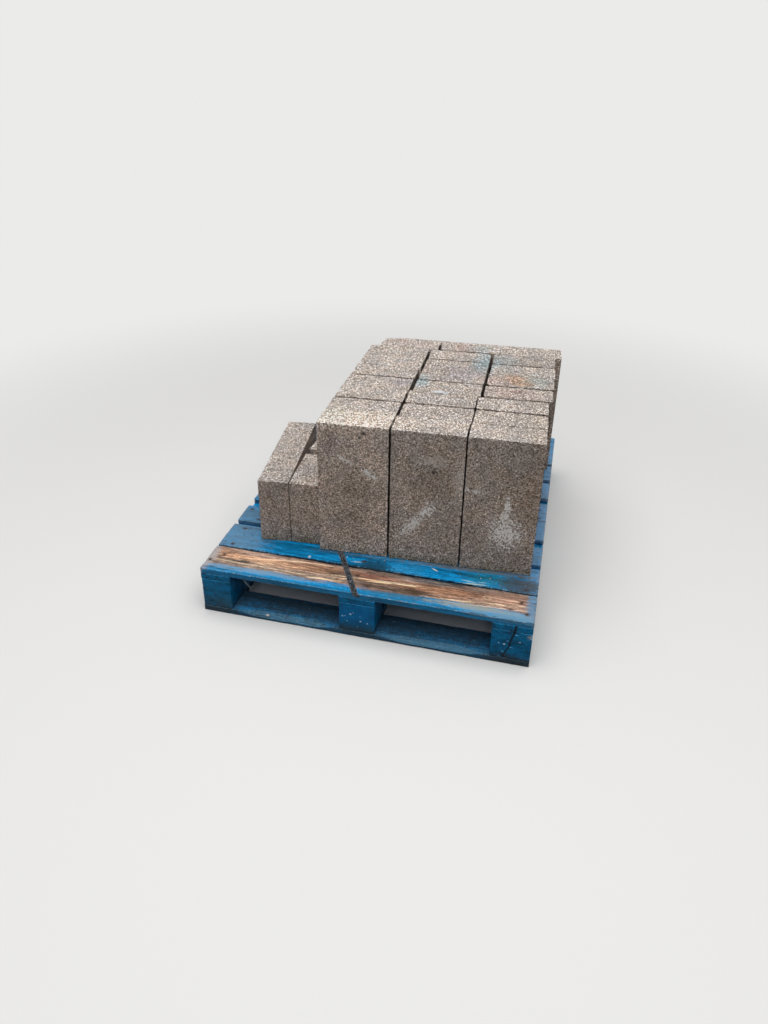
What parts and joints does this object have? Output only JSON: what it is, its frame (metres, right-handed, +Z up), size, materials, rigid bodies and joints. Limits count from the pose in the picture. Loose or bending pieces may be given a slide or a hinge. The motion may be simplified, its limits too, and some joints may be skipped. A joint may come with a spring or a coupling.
{
  "type": "pallet of concrete blocks",
  "caption": "Worn blue timber block pallet with fork entries, loaded with dense concrete building blocks stood on end in close rows, with whole and broken blocks laid beside them.",
  "frame": {"origin": "middle of the pallet's footprint, at the level of the ground it stands on", "axes": "+X to the right along the pallet's 1000 mm front, +Y away from the front along its 1200 mm depth, +Z up"},
  "size_m": [1, 1.2012, 0.6],
  "materials": {
    "painted_timber": "sawn softwood with worn, faded blue paint, damp in places",
    "worn_lead_timber": "sawn softwood with the blue paint worn off its top, bare and weathered",
    "block_concrete": "open textured dense concrete, matt, with pale bloom and stains",
    "strap_plastic": "black flat strapping, slightly glossy"
  },
  "bodies": {
    "root": {"back_lead_board": "painted_timber", "base_board_back": "painted_timber", "base_board_front": "painted_timber", "base_board_left": "painted_timber", "base_board_middle": "painted_timber", "base_board_right": "painted_timber", "block_row1_col1": "block_concrete", "block_row1_col2": "block_concrete", "block_row1_col3": "block_concrete", "block_row2_col1": "block_concrete", "block_row2_col2": "block_concrete", "block_row2_col3": "block_concrete", "block_row3_col1": "block_concrete", "block_row3_col2": "block_concrete", "block_row3_col3": "block_concrete", "block_row4_col1": "block_concrete", "block_row4_col2": "block_concrete", "block_row4_col3": "block_concrete", "block_row5_col1": "block_concrete", "block_row5_col2": "block_concrete", "block_row5_col3": "block_concrete", "block_row6_col1": "block_concrete", "block_row6_col2": "block_concrete", "block_row6_col3": "block_concrete", "block_row7_col1": "block_concrete", "block_row7_col2": "block_concrete", "block_row7_col3": "block_concrete", "block_row8_col1": "block_concrete", "block_row8_col2": "block_concrete", "block_row8_col3": "block_concrete", "deck_board_2": "painted_timber", "deck_board_3": "painted_timber", "deck_board_4": "painted_timber", "deck_board_5": "painted_timber", "deck_board_6": "painted_timber", "deck_board_7": "painted_timber", "deck_board_8": "painted_timber", "deck_board_9": "painted_timber", "front_lead_board": "worn_lead_timber", "laid_block_outer": "block_concrete", "laid_broken_block": "block_concrete", "laid_half_block": "block_concrete", "loose_strap": "strap_plastic", "spacer_back_left": "painted_timber", "spacer_back_middle": "painted_timber", "spacer_back_right": "painted_timber", "spacer_front_left": "painted_timber", "spacer_front_middle": "painted_timber", "spacer_front_right": "painted_timber", "spacer_middle_left": "painted_timber", "spacer_middle_middle": "painted_timber", "spacer_middle_right": "painted_timber", "stringer_board_left": "painted_timber", "stringer_board_middle": "painted_timber", "stringer_board_right": "painted_timber"}
  },
  "joints": []
}
